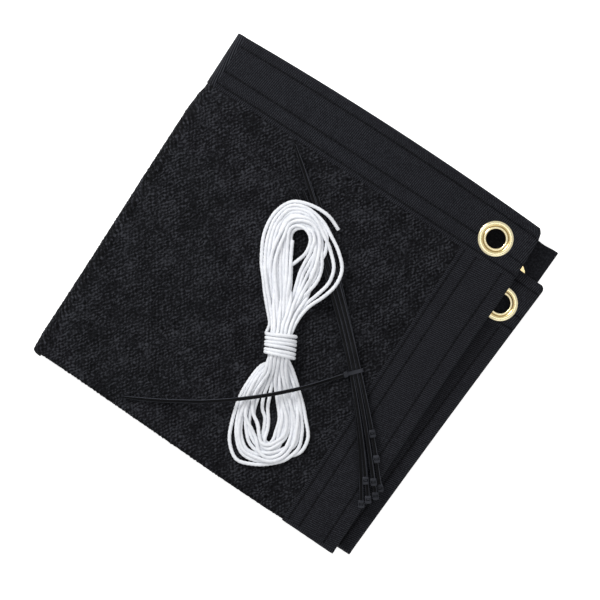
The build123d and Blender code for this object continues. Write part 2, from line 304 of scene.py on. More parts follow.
def turn_points(turn, left, right, next_slot):
    """One turn: up through the waist, round the upper loop, back down and round the lower."""
    slots = (left[UPPER_LEFT_ORDER[turn]], right[UPPER_RIGHT_ORDER[turn]])
    upper = (UPPER_LEFT_AT[UPPER_LEFT_ORDER[turn]], UPPER_RIGHT_AT[UPPER_RIGHT_ORDER[turn]])
    lower = (LOWER_RIGHT_AT[LOWER_RIGHT_ORDER[turn]], LOWER_LEFT_AT[LOWER_LEFT_ORDER[turn]])
    upper_layer, lower_layer = turn % 3 * 0.6, (turn + 1) % 3 * 0.8
    points = through_waist(slots[0], True)
    points += loop_points(UPPER_OUTER, UPPER_INNER, upper, slots, turn, upper_layer)
    points += through_waist(slots[1], False)
    points += loop_points(LOWER_OUTER, LOWER_INNER, lower, (slots[1], next_slot), turn + 0.5, lower_layer)
    return points


def wrap_points():
    """The rope's own end wound round the waist, each wrap beside the last, from low to high."""
    points = []
    for n in range(int(WRAP_COUNT * PER_WRAP) + 1):
        angle = 2 * pi * n / PER_WRAP - pi / 2
        loose = WRAP_LOOSE[0] * sin(WRAP_LOOSE[1] * n / PER_WRAP * pi) * cos(angle) ** 2
        wound = n / PER_WRAP + WRAP_DRIFT[0] * sin(WRAP_DRIFT[1] * n / PER_WRAP)
        lean = WRAP_LEAN[0] * cos(angle + WRAP_LEAN[1] * n / PER_WRAP)
        along = (WRAP_COUNT / 2 - wound) * ROPE_D * WRAP_PITCH + lean
        slot = ((WRAP_SEMI[0] + loose) * cos(angle), WAIST_Z + WRAP_SEMI[1] * sin(angle))
        points.append(at_waist(slot, along))
    return points


def rope_route():
    """Stations of the whole rope: first end, turns, wraps, and the last end up the left side."""
    left, right = waist_slots()
    slot = right[FIRST_END_RIGHT]
    route = [[x, y, rest_height(x, y) + ROPE_R + 1.6 * ROPE_D] for x, y in FIRST_END]
    route += through_waist(slot, False)
    lower = (LOWER_RIGHT_AT[FIRST_END_LOWER_RIGHT], LOWER_LEFT_AT[FIRST_END_LOWER_LEFT])
    route += loop_points(LOWER_OUTER, LOWER_INNER, lower, (slot, left[UPPER_LEFT_ORDER[0]]), 3.3, 1)
    low_slot = (left[0][0], WAIST_Z - WRAP_SEMI[1])
    for turn in range(TURNS):
        last = turn + 1 == TURNS
        route += turn_points(turn, left, right, low_slot if last else left[UPPER_LEFT_ORDER[turn + 1]])
    route += wrap_points()
    end_slot = (-WRAP_SEMI[0], CLOTH_TOP + 2.5)
    end = loop_points(UPPER_OUTER, UPPER_INNER, (0, 0), (end_slot, end_slot), 0, 0.2)
    route += end[:LAST_END_STATIONS]
    return route


def evenly(points, step):
    """Points a step apart on a smooth curve through the stations."""
    points = np.array(points, float)
    s = lengths_along(points)
    slope = np.gradient(points, s, axis=0)
    want = np.arange(0, s[-1], step)
    i = np.clip(np.searchsorted(s, want, side="right") - 1, 0, len(s) - 2)
    h = (s[i + 1] - s[i])[:, None]
    t = (want[:, None] - s[i][:, None]) / h
    return ((2 * t**3 - 3 * t**2 + 1) * points[i] + (t**3 - 2 * t**2 + t) * h * slope[i]
            + (3 * t**2 - 2 * t**3) * points[i + 1] + (t**3 - t**2) * h * slope[i + 1])


# points nearer than this along the rope are neighbours on it, not strands that meet
SAME_STRETCH = 4
SETTLE_ROUNDS = 80
SETTLE_TOUCH = 0.99
SETTLE_PUSH = 0.6
SETTLE_SINK = 0.10
SETTLE_LIFT = 0.6
SMOOTH_PLAN = 0.35
SMOOTH_HEIGHT = 0.5
# which of two level strands goes over: it changes after so many points, by so much
OVER_POINTS = 170
OVER_STEP = 2.4


def neighbours(points, reach):
    """Pairs of points nearer than reach that aren't next to each other along the rope."""
    tree = kdtree.KDTree(len(points))
    for i, point in enumerate(points):
        tree.insert(point, i)
    tree.balance()
    pairs = [(i, j) for i, point in enumerate(points)
             for _, j, _ in tree.find_range(point, reach) if j > i + SAME_STRETCH]
    return np.array(pairs, int).reshape(-1, 2)


def settle(points, held):
    """Strands that lie in each other push apart and sink onto what is below them."""
    start = points.copy()
    free = ~held
    order = np.sin(np.arange(len(points)) // OVER_POINTS * OVER_STEP)
    for _ in range(SETTLE_ROUNDS):
        pairs = neighbours(points, ROPE_D * SETTLE_TOUCH)
        push = np.zeros_like(points)
        if len(pairs):
            i, j = pairs.T
            apart = points[j] - points[i]
            gap = np.linalg.norm(apart, axis=1)
            flat = np.abs(apart[:, 2]) < SETTLE_LIFT
            apart[flat, 2] = np.where(order[j[flat]] > order[i[flat]], SETTLE_LIFT, -SETTLE_LIFT)
            apart *= ((ROPE_D - gap) * 0.5 / np.maximum(np.linalg.norm(apart, axis=1), 0.2))[:, None]
            apart[:, :2] *= 0.5
            np.add.at(push, i, -apart)
            np.add.at(push, j, apart)
        push[:, 2] -= SETTLE_SINK
        moved = points + SETTLE_PUSH * push * free[:, None]
        drift = moved - start
        drift[1:-1] += SMOOTH_PLAN * ((drift[:-2] + drift[2:]) / 2 - drift[1:-1])
        height = moved[:, 2].copy()
        height[1:-1] += SMOOTH_HEIGHT * ((height[:-2] + height[2:]) / 2 - height[1:-1])
        points[free, :2] = (start + drift)[free, :2]
        points[free, 2] = height[free]
        low = rest_height(points[:, 0], points[:, 1]) + ROPE_R
        points[free, 2] = np.maximum(points[free, 2], low[free])
    return points


def rope_line():
    """Centreline of the rope, read from its one NURBS spline."""
    points = evenly(rope_route(), ROPE_STEP)
    heading, side = heading_and_side()
    off = points[:, :2] - WAIST
    held = (np.abs(off @ heading) < WAIST_HALF + 1.5) & (np.abs(off @ side) < WRAP_SEMI[0] + 1)
    points = settle(points, held)
    curve = bpy.data.curves.new("rope_line", "CURVE")
    curve.dimensions = "3D"
    curve.resolution_u = 3
    spline = curve.splines.new("NURBS")
    spline.points.add(len(points) - 1)
    for knot, point in zip(spline.points, to_row(points)):
        knot.co = (*point, 1.0)
    spline.order_u = 3
    spline.use_endpoint_u = True
    holder = linked("rope_line", curve)
    mesh = bpy.data.meshes.new_from_object(holder)
    line = np.array([v.co[:] for v in mesh.vertices]) / MM - SHIFT
    bpy.data.objects.remove(holder)
    bpy.data.curves.remove(curve)
    bpy.data.meshes.remove(mesh)
    return line


def frames_along(line):
    """Two unit vectors across a line at each point, turned as little as possible along it."""
    way = units(np.gradient(line, axis=0))
    side = np.zeros_like(line)
    side[0] = np.cross(way[0], (0.0, 0.0, 1.0))
    side[0] /= np.linalg.norm(side[0])
    for n in range(1, len(line)):
        across = side[n - 1] - way[n] * (side[n - 1] @ way[n])
        side[n] = across / np.linalg.norm(across)
    return side, np.cross(side, way)


def respaced(line, step):
    """The line with points a step apart, and how far along it they are."""
    s = lengths_along(line)
    want = np.linspace(0, s[-1], int(s[-1] / step) + 1)
    return np.column_stack([np.interp(want, s, line[:, axis]) for axis in range(3)]), want


LAY_LENGTH = 8.0
STRANDS = 3
# depth of the grooves between the strands, as a share of the rope's radius
GROOVE = 0.23
ROPE_SIDES = 12
RING_STEP = 0.75


def make_rope():
    """Three-strand rope swept along its line, with rounded strands that twist as they go."""
    line, s = respaced(rope_line(), RING_STEP)
    side, up = frames_along(line)
    angle = 2 * pi * np.arange(ROPE_SIDES) / ROPE_SIDES
    lobe = np.abs(np.cos(STRANDS / 2 * (angle[None, :] - 2 * pi * s[:, None] / LAY_LENGTH)))
    radius = ROPE_R * (1 - GROOVE + GROOVE * np.sqrt(lobe))
    across = np.cos(angle)[None, :, None] * side[:, None, :] + np.sin(angle)[None, :, None] * up[:, None, :]
    rings = line[:, None, :] + radius[..., None] * across
    points = np.concatenate([rings.reshape(-1, 3), line[:1], line[-1:]])
    first, last = len(points) - 2, len(points) - 1
    end = first - ROPE_SIDES
    faces = tube_faces(len(line), ROPE_SIDES)
    faces += [(first, (n + 1) % ROPE_SIDES, n) for n in range(ROPE_SIDES)]
    faces += [(last, end + n, end + (n + 1) % ROPE_SIDES) for n in range(ROPE_SIDES)]
    rope = new_mesh("rope", points, faces)
    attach(rope, "hank")
    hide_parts("rope_hank")
    return rope


# --- relief ---
def noise(x, y, cell, seed):
    """Smooth noise from -1 to 1 with cells of that size."""
    table = np.random.default_rng(seed).uniform(-1, 1, (128, 128))
    u, v = x / cell, y / cell
    i, j = np.floor(u).astype(int), np.floor(v).astype(int)
    a, b = smooth_step(u - i), smooth_step(v - j)
    low = table[i % 128, j % 128] * (1 - a) + table[(i + 1) % 128, j % 128] * a
    high = table[i % 128, (j + 1) % 128] * (1 - a) + table[(i + 1) % 128, (j + 1) % 128] * a
    return low * (1 - b) + high * b


KNIT_STITCH = 2.5
KNIT_ROW = 1.9
KNIT_DEPTH = 0.42
RIB_PITCH = 1.3
RIB_DEPTH = 0.09
WAVE_DEPTH = 0.22


def lie(x, y):
    """Slow rise and fall of cloth that lies loosely."""
    return WAVE_DEPTH * (noise(x, y, 47.0, 3) + 0.6 * noise(x, y, 21.0, 4))


def knit(x, y):
    """Lumps of the knitted cloth, in rows, drawn out of line."""
    x = x + 1.0 * noise(x, y, 2.7, 11)
    y = y + 0.8 * noise(x, y, 2.3, 12)
    lump = np.sin(2 * pi * x / KNIT_STITCH) * np.sin(pi * y / KNIT_ROW)
    size = 0.75 + 0.45 * noise(x, y, 3.9, 13)
    return KNIT_DEPTH * (0.5 * size * lump + 0.22 * noise(x, y, 1.1, 14) - 0.25)


def knit_shade(relief):
    """Painted light and shade of the knitted lumps, from their height: their tops painted paler and the gaps
    between them darker.
    """
    return relief / KNIT_DEPTH + 0.75


RIB_SLANT = 0.16


def ribs(along, across):
    """Fine ribs across a webbing, with a little of its weave."""
    slant = along + RIB_SLANT * across
    return RIB_DEPTH * np.cos(2 * pi * slant / RIB_PITCH) + weave(along, across)


def weave(x, y):
    """Small unevenness of a webbing."""
    return 0.05 * noise(x, y, 1.7, 21)


def rib_shade(along, across):
    """Painted light and shade of the webbing's ribs, from 0 to 1: their crests painted paler and the troughs
    between them darker.
    """
    slant = along + RIB_SLANT * across + 0.3 * noise(along, across, 9.0, 22)
    strong = 0.42 + 0.12 * noise(along, across, 6.0, 23)
    return 0.5 + strong * np.cos(2 * pi * slant / RIB_PITCH)


# --- panel ---
LEFT = -115.2
FRONT_LEFT_Y = -119.6
TOP_HEM_W = 38.0
SIDE_HEM_W = 39.5
TOP_ROWS = (7.0, 26.0, 35.0)
SIDE_ROWS = (9.0, 28.0, 36.5)
TUCK = 3.0
EDGE_POINTS = 121
LEAVES = {
    1: {"spine_y": 124.9, "crown": 2.8, "corner": (116.0, 125.0), "side_bow": 0.6,
        "front": (114.8, -123.6), "cut": (3.2, 7.2), "eyelet": EYELET_1, "face": 1,
        "side_swell": (0.84, -1.3, 0.12)},
    2: {"spine_y": 86.0, "crown": 1.0, "corner": (109.5, 80.0), "side_bow": 0.5,
        "front": (114.8, -123.6), "cut": (1.5, 2.0), "eyelet": (86.5, 59.5), "face": -1},
    3: {"spine_y": 86.0, "crown": 1.0, "corner": (137.2, 95.0), "side_bow": 0.6,
        "front": (124.8, -118.6), "cut": (2.5, 3.0), "eyelet": (118.0, 70.2), "face": 1,
        "top_swell": (0.925, 1.0, 0.035)},
    4: {"spine_y": 124.9, "crown": 1.0, "corner": (132.4, 118.8), "side_bow": 0.5,
        "front": (124.8, -118.6), "cut": (0.6, 0.6), "eyelet": (111.5, 89.0), "face": -1,
        "top_swell": (0.955, -1.1, 0.025)},
}
# grid steps of a leaf's outer side: the top leaf is seen closest
CLOTH_STEP = {1: 0.75, 2: 1.3, 3: 1.3, 4: 1.3}
RIB_STEP = {1: 0.42, 2: 0.65, 3: 0.45, 4: 0.65}


def leaf_level(number):
    """Height of a leaf's lower side."""
    return (4 - number) * PITCH


def left_of(start, end):
    """Unit vector to the left of the way from start to end."""
    way = end - start
    return np.array([-way[1], way[0]]) / np.linalg.norm(way)


def bowed(start, end, bow, count=41):
    """Points from start to end, bowed to the left of the way."""
    start, end = np.array(start, float), np.array(end, float)
    t = np.linspace(0, 1, count)[:, None]
    return start + (end - start) * t + left_of(start, end) * 4 * t * (1 - t) * bow


def along_line(line, share):
    """Points at shares of a plan line's length."""
    s = lengths_along(line)
    return np.column_stack([np.interp(np.asarray(share) * s[-1], s, line[:, axis]) for axis in (0, 1)])


def swelled(line, place, size, spread):
    """The line pushed to its left by size about a place along it, from 0 to 1."""
    push = size * np.exp(-((np.linspace(0, 1, len(line)) - place) / spread) ** 2)
    return line + left_of(line[0], line[-1]) * push[:, None]


# how much of a cut corner's two sides the tip gives up
TIP_CUT = 0.34


def leaf_edges(leaf):
    """The top edge from the spine and the right edge from the front, both to the corner."""
    corner_x, corner_y = leaf["corner"]
    cut_x, cut_y = leaf["cut"]
    tip = (corner_x - TIP_CUT * cut_x, corner_y - TIP_CUT * cut_y)
    top = bowed((LEFT, leaf["spine_y"]), (corner_x - cut_x, corner_y), leaf["crown"], EDGE_POINTS)
    right = bowed(leaf["front"], (corner_x, corner_y - cut_y), leaf["side_bow"], EDGE_POINTS)
    top = swelled(top, *leaf.get("top_swell", (0, 0, 1)))
    right = swelled(right, *leaf.get("side_swell", (0, 0, 1)))
    return np.vstack([top, tip]), np.vstack([right, tip])


def crossing(line, y):
    """Point of a rising line at a height y."""
    return np.array([np.interp(y, line[:, 1], line[:, 0]), y])


def inner_lines(leaf):
    """Inner edge of the top hem and of the side hem, as start and end."""
    (corner_x, corner_y), (front_x, front_y) = leaf["corner"], leaf["front"]
    low = np.array([[LEFT, leaf["spine_y"] - TOP_HEM_W], [corner_x, corner_y - TOP_HEM_W]])
    side = np.array([[front_x - SIDE_HEM_W, front_y], [corner_x - SIDE_HEM_W, corner_y]])
    side[0, 1] += (FRONT_LEFT_Y - front_y) * (SIDE_HEM_W / (front_x - LEFT))
    return low, side


def patch(first, last, left, right, rows):
    """Grid of plan points between its first and last row and its left and right ends."""
    v = np.asarray(rows)[:, None, None]
    u = np.linspace(0, 1, len(first))[None, :, None]
    grid = (1 - v) * first[None] + v * last[None] + (1 - u) * left[:, None] + u * right[:, None]
    return grid - ((1 - u) * (1 - v) * first[0] + u * (1 - v) * first[-1]
                   + (1 - u) * v * last[0] + u * v * last[-1])


def shell(name, face, back, skip, sharp=55, lumps=None):
    """Closed piece between a fine grid and the same grid's back, which skips (rows, columns)."""
    rows, cols = face.shape[:2]
    back = back[::skip[0], ::skip[1]]
    base = rows * cols
    fine = np.arange(base).reshape(rows, cols)
    rough = base + np.arange(back.shape[0] * back.shape[1]).reshape(back.shape[:2])
    quads = [np.stack([g[:-1, :-1], g[:-1, 1:], g[1:, 1:], g[1:, :-1]], axis=-1).reshape(-1, 4)[:, ::way]
             for g, way in ((fine, 1), (rough, -1))]
    faces = np.concatenate(quads).tolist()
    rims = ((fine[0], rough[0], skip[1]), (fine[-1], rough[-1], skip[1]),
            (fine[:, 0], rough[:, 0], skip[0]), (fine[:, -1], rough[:, -1], skip[0]))
    for near, far, each in rims:
        for n in range(len(far) - 1):
            faces.append([int(far[n]), int(far[n + 1]), *near[n * each:(n + 1) * each + 1][::-1].tolist()])
    piece = new_mesh(name, np.concatenate([face.reshape(-1, 3), back.reshape(-1, 3)]), faces)
    turn_outwards(piece, sharp)
    if lumps is not None:
        keep_lumps(piece, lumps)
    return piece


def counts(length, step, skip):
    """Number of points along a length, so that a coarser grid shares its ends."""
    return int(ceil(length / step / skip)) * skip + 1


def raised(plan, height):
    """Plan points at their heights."""
    return np.dstack([plan, height])


def finish_piece(piece, node, slot, body):
    """Gives a piece its material, hides the CAD part that it stands in for, and attaches it to the body it
    moves with, if any.
    """
    piece.data.materials.append(MATERIALS[slot])
    if body:
        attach(piece, body)
    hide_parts(node)
    return piece


def half_of(number):
    """The body that a leaf moves with."""
    return "upper_half" if number < 3 else "lower_half"


def lie_of(number, x, y):
    """How far a leaf is from flat: the bottom leaf is pressed to the ground."""
    return lie(x, y) if number < 4 else np.zeros_like(x)


def leaf_cloth(number):
    """The leaf's knitted cloth, tucked a little way into the hems."""
    leaf = LEAVES[number]
    low, side = inner_lines(leaf)
    skip = 4
    slope = (leaf["front"][1] - FRONT_LEFT_Y) / (leaf["front"][0] - LEFT)
    far = side + [TUCK, TUCK * slope]
    start, top_left = np.array([LEFT, FRONT_LEFT_Y]), low[0] + [0, TUCK]
    end = crossing(far, low[1, 1] + TUCK)
    across = counts(far[0, 0] - LEFT, CLOTH_STEP[number], skip)
    up = counts(top_left[1] - start[1], CLOTH_STEP[number], skip)
    plan = patch(bowed(start, far[0], 0, across), bowed(top_left, end, 0, across),
                 bowed(start, top_left, 0, up), bowed(far[0], end, 0, up), np.linspace(0, 1, up))
    x, y = plan[..., 0], plan[..., 1]
    middle = leaf_level(number) + HEM / 2 + lie_of(number, x, y)
    outward = leaf["face"]
    stitch = knit(x, y)
    face = raised(plan, middle + outward * (CLOTH / 2 + stitch))
    back = raised(plan, middle - outward * CLOTH / 2)
    piece = shell(f"panel_{number}_cloth", face, back, (skip, skip), lumps=knit_shade(stitch))
    finish_piece(piece, f"leaf_{number}_cloth", "knitted_cloth", half_of(number))
    size = (float(far[0, 0] - LEFT) * MM, float(top_left[1] - start[1]) * MM)
    return piece, size


def steps_across(width, rows):
    """Distances in from a hem's outer edge: close together at its edges and at the sewn rows."""
    wanted = {0.0, 0.12, 0.4, 0.9, 1.5, width, width - 0.25, width - 0.9}
    for row in rows:
        wanted |= {row - 0.9, row - 0.4, row, row + 0.4, row + 0.9}
    for distance in np.arange(3.0, width - 1.5, 1.7):
        if min(abs(distance - w) for w in wanted) > 0.7:
            wanted.add(float(distance))
    return np.array(sorted(wanted))


def edge_distance(plan, edges):
    """Distance of each plan point from the leaf's outer edges."""
    flat = plan.reshape(-1, 2)
    best = np.full(len(flat), 1e9)
    for edge in edges:
        for start, end in zip(edge[:-1], edge[1:]):
            way = end - start
            t = np.clip(((flat - start) @ way) / (way @ way), 0, 1)
            best = np.minimum(best, ((flat - start - t[:, None] * way) ** 2).sum(1))
    return np.sqrt(best).reshape(plan.shape[:2])


def hem_half(distance):
    """Half the hem's thickness, round at its outer edge."""
    part = np.clip(distance / (HEM / 2), 0, 1)
    return HEM / 2 * np.sqrt(np.clip(1 - (1 - part) ** 2, 0.03, 1))


SEWN_DEPTH = 0.26
SEWN_W = 0.7
PRESS_DEPTH = 0.3
PRESS_R = 11.5


def sewn(across, rows):
    """How far the sewing draws the hem in along its rows."""
    return sum(-SEWN_DEPTH * np.exp(-((across - row) / SEWN_W) ** 2) for row in rows)


def eyelet_press(plan, leaf):
    """How far the eyelet presses the hem down round it."""
    away = np.hypot(plan[..., 0] - leaf["eyelet"][0], plan[..., 1] - leaf["eyelet"][1])
    return -PRESS_DEPTH * np.exp(-np.clip(away - PRESS_R, 0, None) ** 2 / 9.0)


# the crease's middle, in from the corner, and its way, depth, half width and half length
CREASE_IN = (6.5, 4.0)
CREASE_WAY = (0.75, 0.66)
CREASE = (0.4, 0.9, 6.0)


def crease(plan, leaf):
    """Small crease across the turned-in corner of the top hem."""
    from_middle = plan - np.array(leaf["corner"]) + np.array(leaf["cut"]) / 2 + np.array(CREASE_IN)
    across = from_middle @ np.array([-CREASE_WAY[1], CREASE_WAY[0]])
    along = from_middle @ np.array(CREASE_WAY)
    depth, half_w, half_l = CREASE
    return -depth * np.exp(-(across / half_w) ** 2) * np.exp(-(along / half_l) ** 2)


# the hem's ribs and crown fade out this near its outer edge
EDGE_FADE = 2.0
# the bottom leaf's underside keeps clear of the ground by this
GROUND_RELIEF = 0.42


def hem_piece(number, part, plan, along, across, edges, extra, width):
    """Closed webbing over a grid of plan points, ribbed on its outer side."""
    leaf = LEAVES[number]
    rows = TOP_ROWS if part == "top_hem" else SIDE_ROWS
    distance = edge_distance(plan, edges)
    body = np.clip(distance / EDGE_FADE, 0, 1)
    relief = body * (ribs(along, across) + sewn(across, rows) + eyelet_press(plan, leaf) + extra)
    relief -= 0.25 * np.exp(-(width - across) / 0.3) + (GROUND_RELIEF if number == 4 else 0.0)
    outward = leaf["face"]
    middle = leaf_level(number) + HEM / 2 + lie_of(number, plan[..., 0], plan[..., 1]) * body
    half = hem_half(distance)
    face = raised(plan, middle + outward * (half + relief))
    back = raised(plan, middle - outward * half)
    shade = rib_shade(along, across)
    # painted shade: the hem's colour is darkened along each sewn row, where the sewing draws it into a groove
    for row in rows:
        shade = shade - 0.4 * np.exp(-((across - row) / 0.5) ** 2)
    piece = shell(f"panel_{number}_{part}", face, back, (1, 4), 50, shade)
    if part == "top_hem":
        punch(piece, leaf["eyelet"])
    finish_piece(piece, f"leaf_{number}_{part}", "webbing", half_of(number))
    return piece


def top_hem(number):
    """Webbing along the top edge, from the spine to the corner, over the end of the side hem."""
    leaf = LEAVES[number]
    top, right = leaf_edges(leaf)
    low, side = inner_lines(leaf)
    columns = counts(leaf["corner"][0] - LEFT, RIB_STEP[number], 4)
    inwards = steps_across(TOP_HEM_W, TOP_ROWS)
    share = inwards / TOP_HEM_W
    end = crossing(right, low[1, 1])
    down = np.vstack([end, right[right[:, 1] > end[1]]])[::-1]
    plan = patch(along_line(top, np.linspace(0, 1, columns)), bowed(low[0], end, 0, columns),
                 along_line(np.array([top[0], low[0]]), share), along_line(down, share), share)
    across = np.broadcast_to(inwards[:, None], plan.shape[:2])
    past_side = plan[..., 0] - np.interp(plan[..., 1], side[:, 1], side[:, 0])
    doubled = 0.3 * smooth_step(past_side / 16.0 + 0.5) + crease(plan, leaf)
    piece = hem_piece(number, "top_hem", plan, plan[..., 0], across, (top, right), doubled, TOP_HEM_W)
    return piece, plan, inwards


def side_hem(number):
    """Webbing along the right edge, from the front to the top hem."""
    leaf = LEAVES[number]
    right = leaf_edges(leaf)[1]
    low, side = inner_lines(leaf)
    upper = low[1, 1] + 0.3
    columns = counts(upper - leaf["front"][1], RIB_STEP[number], 4)
    inwards = steps_across(SIDE_HEM_W, SIDE_ROWS)
    share = inwards / SIDE_HEM_W
    edge = np.vstack([right[right[:, 1] < upper], crossing(right, upper)])
    inner = bowed(side[0], crossing(side, upper), 0, columns)
    edge = along_line(edge, np.linspace(0, 1, columns))
    plan = patch(edge, inner, along_line(np.array([edge[0], inner[0]]), share),
                 along_line(np.array([edge[-1], inner[-1]]), share), share)
    across = np.broadcast_to(inwards[:, None], plan.shape[:2])
    piece = hem_piece(number, "side_hem", plan, plan[..., 1], across, (right,), 0.0, SIDE_HEM_W)
    return piece, plan, inwards


HOLE_R = 7.2
HOLE_SIDES = 48
# heights that a hole's cutter reaches from and to, past the whole stack
HOLE_SPAN = (-5.0, 20.0)


def punch(piece, place):
    """Cuts the eyelet's hole through a piece."""
    angle = 2 * pi * np.arange(HOLE_SIDES) / HOLE_SIDES
    points = [(place[0] + HOLE_R * cos(a), place[1] + HOLE_R * sin(a), z)
              for z in HOLE_SPAN for a in angle]
    cutter = new_mesh("cutter", points, rod_faces(len(HOLE_SPAN), HOLE_SIDES), smooth=False)
    cut = piece.modifiers.new("hole", "BOOLEAN")
    cut.operation = "DIFFERENCE"
    cut.object = cutter
    cut.solver = "FAST"
    bpy.context.view_layer.update()
    result = bpy.data.meshes.new_from_object(piece.evaluated_get(bpy.context.evaluated_depsgraph_get()))
    piece.modifiers.remove(cut)
    spent = (piece.data, cutter.data)
    piece.data = result
    bpy.data.objects.remove(cutter)
    for mesh in spent:
        bpy.data.meshes.remove(mesh)
    result.name = piece.name


STITCH_L = 2.6
STITCH_PITCH = 3.5
STITCH_W = 0.55
STITCH_H = 0.3
STITCH_SINK = 0.16
STITCH_SIDES = 6
# place along a stitch and size there, from -1 to 1 of its length
STITCH_SHAPE = ((-1, 0.15), (-0.6, 0.8), (0, 1), (0.6, 0.8), (1, 0.15))
EYELET_REACH = 13.5


def stitches(number, hems):
    """The thread's stitches along the sewn rows of a leaf's hems, as one piece."""
    leaf = LEAVES[number]
    outward = leaf["face"]
    level = leaf_level(number) + HEM / 2 + outward * (HEM / 2 - STITCH_SINK)
    points, faces = [], []
    angle = 2 * pi * np.arange(STITCH_SIDES) / STITCH_SIDES
    for line in (plan[int(np.argmin(np.abs(inwards - row)))] for plan, inwards, rows in hems for row in rows):
        total = lengths_along(line)[-1]
        for n in range(1, int(total / STITCH_PITCH)):
            share = n * STITCH_PITCH / total
            here, there = along_line(line, [share, min(share + 0.5 / total, 1)])
            if hypot(*(here - leaf["eyelet"])) < EYELET_REACH:
                continue
            way = (there - here) / max(np.linalg.norm(there - here), 1e-9)
            side = np.array([-way[1], way[0]])
            height = level + lie_of(number, *here)
            faces += rod_faces(len(STITCH_SHAPE), STITCH_SIDES, len(points))
            for along, size in STITCH_SHAPE:
                for a in angle:
                    flat = here + way * along * STITCH_L / 2 + side * cos(a) * size * STITCH_W / 2
                    points.append((*flat, height + sin(a) * size * STITCH_H / 2 * outward))
    piece = new_mesh(f"panel_{number}_stitches", points, faces)
    return finish_piece(piece, f"leaf_{number}_stitching", "thread", half_of(number))


def half_round(name, start, way, outward, level, radius, thick, lengths, slots, relief,
               cap=0.0, bulge=None):
    """Cloth or webbing bent half round an axis that runs from start along way.

    With a cap, the lengths under nought close the end as a dome that long.
    """
    phi = np.linspace(0, pi, slots)[None, :]
    a = np.array(lengths)[:, None]
    shrink = np.ones_like(a)
    if cap:
        shrink = np.sqrt(np.clip(1 - (np.clip(-a, 0, None) / cap) ** 2, 0.03, 1))
    x = start[0] + way[0] * a + 0 * phi
    y = start[1] + way[1] * a + 0 * phi
    unrolled = x + outward[0] * radius * phi
    bump = relief(unrolled, y + outward[1] * radius * phi)
    swell = np.interp(a, *bulge) if bulge else 0.0 * a

    def surface(r):
        out = r * np.sin(phi) * shrink + swell * np.sin(phi)
        height = np.maximum(level + r * np.cos(phi) * shrink, GROUND_CLEAR)
        return np.dstack([x + outward[0] * out, y + outward[1] * out, height])

    lumps = knit_shade(bump) if thick < HEM else rib_shade(unrolled, y)
    return shell(name, surface(radius + thick / 2 + bump), surface(radius - thick / 2), (1, 1), lumps=lumps)


TURN_R = PITCH / 2
SPINE_R = 1.5 * PITCH
# a fold's ribs don't reach into the ground
GROUND_CLEAR = 0.02
CORNER_CAP = 2.7
FOLD_LUMPS = 1.5
# how far a fold's cloth bulges out, at lengths along it
SPINE_BULGE = ((0, 12, 60, 130, 185, 198, 204), (1.2, 1.8, 1.7, 2.3, 2.4, 1.5, 0.2))
FOLD_BULGE = ((0, 30, 80, 140, 180, 190), (-1.0, -0.8, -0.2, 0.6, 0.4, 0.0))


def fold_knit(x, y):
    """The knit's lumps where the cloth is bent and they stand out more."""
    return FOLD_LUMPS * knit(x, y)


def front_turn(upper):
    """The cloth and the webbing that go round the front edge of a pair of leaves."""
    leaf = LEAVES[1 if upper else 3]
    name = "upper" if upper else "lower"
    start = np.array([LEFT, FRONT_LEFT_Y])
    way = np.array(leaf["front"]) - start
    total = np.linalg.norm(way)
    way = way / total
    axis = (start, way, np.array([way[1], -way[0]]), leaf_level(2 if upper else 4) + HEM / 2 + TURN_R, TURN_R)
    split = total - SIDE_HEM_W
    cloth = half_round(f"fold_{name}_cloth", *axis, CLOTH, np.linspace(0, split, 260), 9, fold_knit,
                       bulge=FOLD_BULGE if upper else None)
    hem = half_round(f"fold_{name}_hem", *axis, HEM, np.linspace(split, total, 60), 11, weave)
    body = half_of(1 if upper else 3)
    finish_piece(cloth, f"front_turn_{name}_cloth", "knitted_cloth", body)
    finish_piece(hem, f"front_turn_{name}_hem", "webbing", body)
    return cloth, hem


def spine(outer):
    """The cloth and the webbing that go round the left edge from one half to the other."""
    name = "outer" if outer else "inner"
    radius = SPINE_R if outer else TURN_R
    top_y = LEAVES[1 if outer else 2]["spine_y"]
    level = leaf_level(4) + HEM / 2 + SPINE_R
    axis = ((LEFT, FRONT_LEFT_Y), (0.0, 1.0), (-1.0, 0.0), level, radius)
    split = top_y - TOP_HEM_W - FRONT_LEFT_Y
    total = top_y - FRONT_LEFT_Y
    lengths = np.linspace(0, split, 260)
    if outer:
        lengths = np.concatenate([-CORNER_CAP * np.sin(np.linspace(1.45, 0.15, 8)), lengths])
    cloth = half_round(f"spine_{name}_knit", *axis, CLOTH, lengths, 23 if outer else 9, fold_knit,
                       CORNER_CAP if outer else 0.0, SPINE_BULGE if outer else None)
    hem = half_round(f"spine_{name}_webbing", *axis, HEM, np.linspace(split, total, 24),
                     41 if outer else 13, ribs)
    for piece, part, slot in ((cloth, "cloth", "knitted_cloth"), (hem, "hem", "webbing")):
        finish_piece(piece, f"spine_{name}_{part}", slot, None)
        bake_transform(piece)
    return cloth, hem


# --- eyelets ---
EYE_SIDES = 72
GROOVE_R = 8.25
# how far the bottom leaf's eyelet is set into its hem, clear of the ground
EYE_DROP = 0.5
# radius and height above the washer side, from the curl, up the hole and out over the flange
EYE_PROFILE = (
    (8.2, 0.3), (8.25, 0.15), (8.0, 0.03), (7.4, 0.0), (6.85, 0.1), (6.48, 0.4), (6.35, 0.9), (6.35, 1.9),
    (6.42, 2.3), (6.65, 2.6), (7.0, 2.74), (7.4, 2.72), (7.75, 2.56), (8.0, 2.33), (8.25, 2.24),
    (8.5, 2.32), (8.75, 2.5), (9.2, 2.68), (9.9, 2.78), (10.6, 2.74), (11.2, 2.56), (11.65, 2.26),
    (11.8, 1.98), (11.76, 1.84), (11.5, 1.8), (7.3, 1.8), (7.1, 1.6), (7.1, 0.5), (7.3, 0.3),
)


